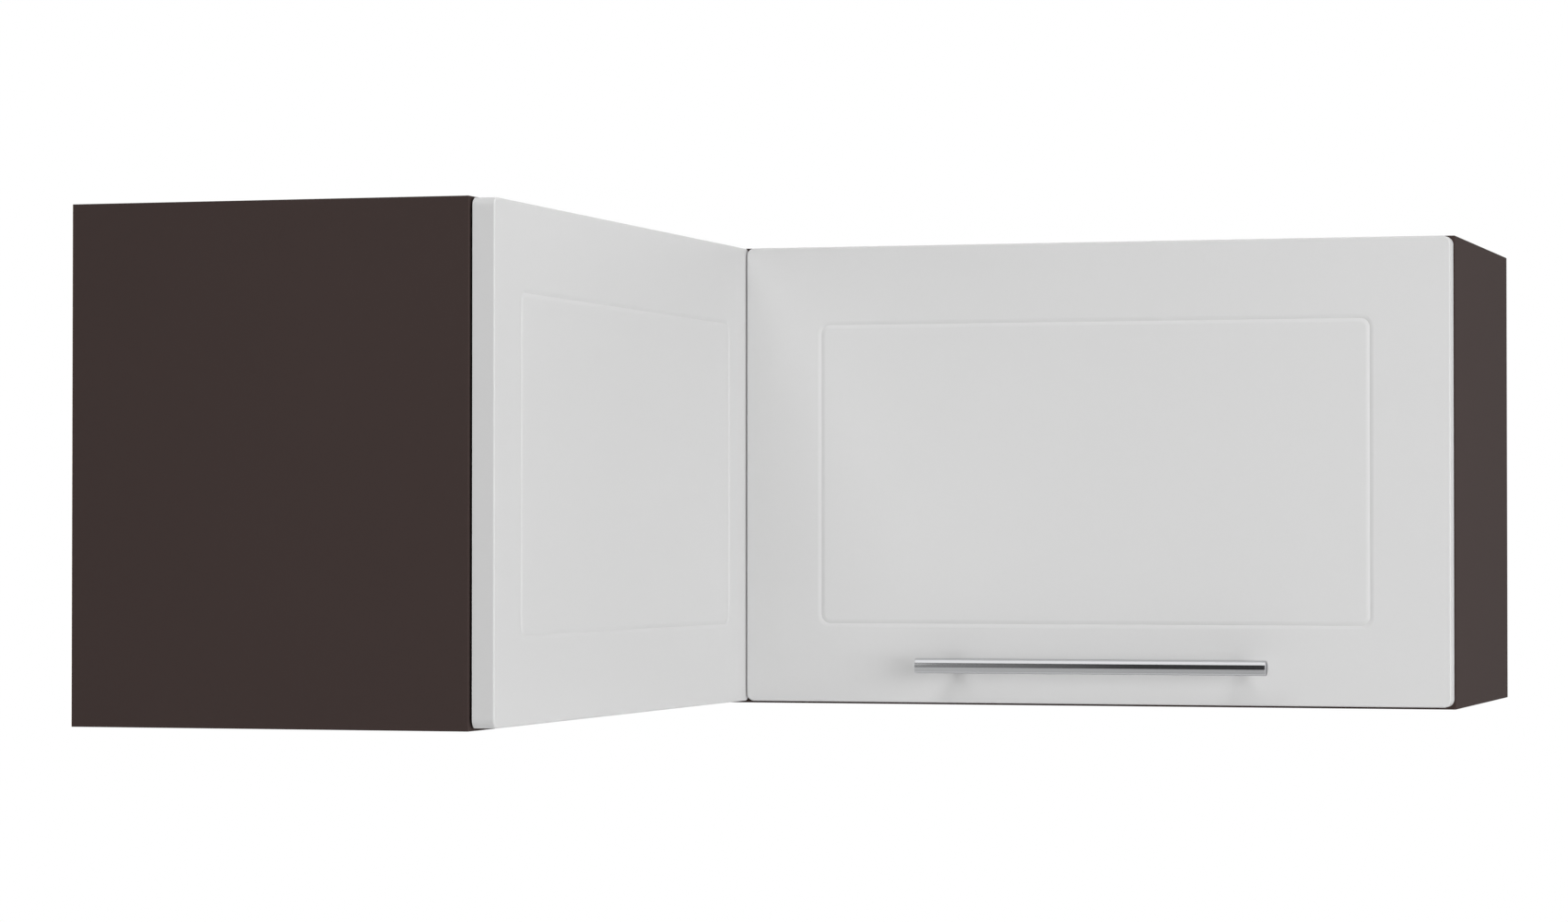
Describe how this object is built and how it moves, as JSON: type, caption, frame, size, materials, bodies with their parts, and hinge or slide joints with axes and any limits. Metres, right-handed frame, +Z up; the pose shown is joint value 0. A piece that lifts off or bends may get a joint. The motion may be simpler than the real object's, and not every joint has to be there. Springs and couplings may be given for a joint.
{
  "type": "corner wall cabinet",
  "caption": "L-shaped corner wall cabinet with a dark carcass, a fixed white front on one wing and a white lift-up flap with a bar handle on the other.",
  "frame": {"origin": "the room's inside corner, at the height of the cabinet's underside, where the two wall planes meet", "axes": "+X along the back wall, towards the flap's end panel; +Y into the back wall; +Z up. The left wing runs along -Y"},
  "size_m": [0.867, 0.886, 0.36],
  "materials": {
    "dark_laminate": "dark brown laminated board, satin",
    "hardboard": "white painted hardboard, matt",
    "white_film": "white film-wrapped fibreboard, satin",
    "brushed_bar": "satin nickel bar",
    "beech": "fluted beech dowel",
    "dark_plastic": "moulded cap",
    "soft_bumper": "clear soft bumper",
    "white_plastic": "moulded hanger housing",
    "black_plastic": "moulded socket",
    "strut_enamel": "grey stoved enamel",
    "polished_rod": "hard chromed rod",
    "seal_rubber": "black seal",
    "cast_zinc": "zinc die casting",
    "plated_steel": "nickel plated pressed steel"
  },
  "bodies": {
    "cabinet": {"back_panel_left": "hardboard", "back_panel_right": "hardboard", "bottom_panel": "dark_laminate", "cam_bolts": "plated_steel", "cam_caps": "dark_plastic", "cam_locks": "cast_zinc", "dowels": "beech", "fixed_front": "white_film", "fixed_front_brackets": "plated_steel", "fixed_front_screws": "plated_steel", "fixed_front_spacers": "soft_bumper", "front_post_left": "dark_laminate", "front_post_right": "dark_laminate", "hanger_adjusters": "plated_steel", "hanger_left_end_hook": "plated_steel", "hanger_left_end_housing": "white_plastic", "hanger_rear_left_hook": "plated_steel", "hanger_rear_left_housing": "white_plastic", "hanger_rear_right_hook": "plated_steel", "hanger_rear_right_housing": "white_plastic", "hanger_right_end_hook": "plated_steel", "hanger_right_end_housing": "white_plastic", "hanger_screws": "plated_steel", "hinge_arm_pins": "plated_steel", "hinge_left_arm": "plated_steel", "hinge_left_plate": "plated_steel", "hinge_plate_screws": "plated_steel", "hinge_right_arm": "plated_steel", "hinge_right_plate": "plated_steel", "left_end_panel": "dark_laminate", "post_screws": "plated_steel", "rear_post_left": "dark_laminate", "rear_post_right": "dark_laminate", "right_end_panel": "dark_laminate", "strut_foot_pin": "plated_steel", "strut_side_bracket": "plated_steel", "strut_side_screws": "plated_steel", "top_panel": "dark_laminate", "wall_plates": "plated_steel"},
    "hinge_links": {"hinge_left_link": "plated_steel", "hinge_right_link": "plated_steel"},
    "flap": {"flap": "white_film", "flap_bumpers": "soft_bumper", "handle_bar": "brushed_bar", "handle_post_left": "brushed_bar", "handle_post_right": "brushed_bar", "handle_screws": "plated_steel", "hinge_cup_pins": "plated_steel", "hinge_cup_screws": "plated_steel", "hinge_left_cup": "plated_steel", "hinge_right_cup": "plated_steel", "strut_flap_bracket": "plated_steel", "strut_flap_screws": "plated_steel"},
    "strut_body": {"strut_cylinder": "strut_enamel", "strut_foot_socket": "black_plastic", "strut_gland": "seal_rubber"},
    "strut_rod": {"strut_head_socket": "black_plastic", "strut_piston": "seal_rubber", "strut_rod": "polished_rod"}
  },
  "joints": [
    {"name": "hinge_link_turn", "type": "hinge", "parent": "cabinet", "child": "hinge_links", "pos_m": [0.5879, -0.2958, 0.3314], "axis": [1, 0, 0], "range_deg": [0, 32]},
    {"name": "flap_turn", "type": "hinge", "parent": "hinge_links", "child": "flap", "pos_m": [0.5879, -0.2982, 0.3504], "axis": [-1, 0, 0], "range_deg": [0, 127]},
    {"name": "strut_turn", "type": "hinge", "parent": "cabinet", "child": "strut_body", "pos_m": [0.825, -0.153, 0.185], "axis": [1, 0, 0], "range_deg": [0, 8.79]},
    {"name": "strut_stroke", "type": "slide", "parent": "strut_body", "child": "strut_rod", "axis": [0, -0.7277, 0.6859], "range_m": [0, 0.08378]}
  ],
  "couplings": [
    {"joint": "hinge_link_turn", "follows": "flap_turn", "ratio": 0.25197},
    {"joint": "strut_turn", "follows": "flap_turn", "ratio": 0.069115},
    {"joint": "strut_stroke", "follows": "flap_turn", "m_per_rad": 0.037794}
  ]
}
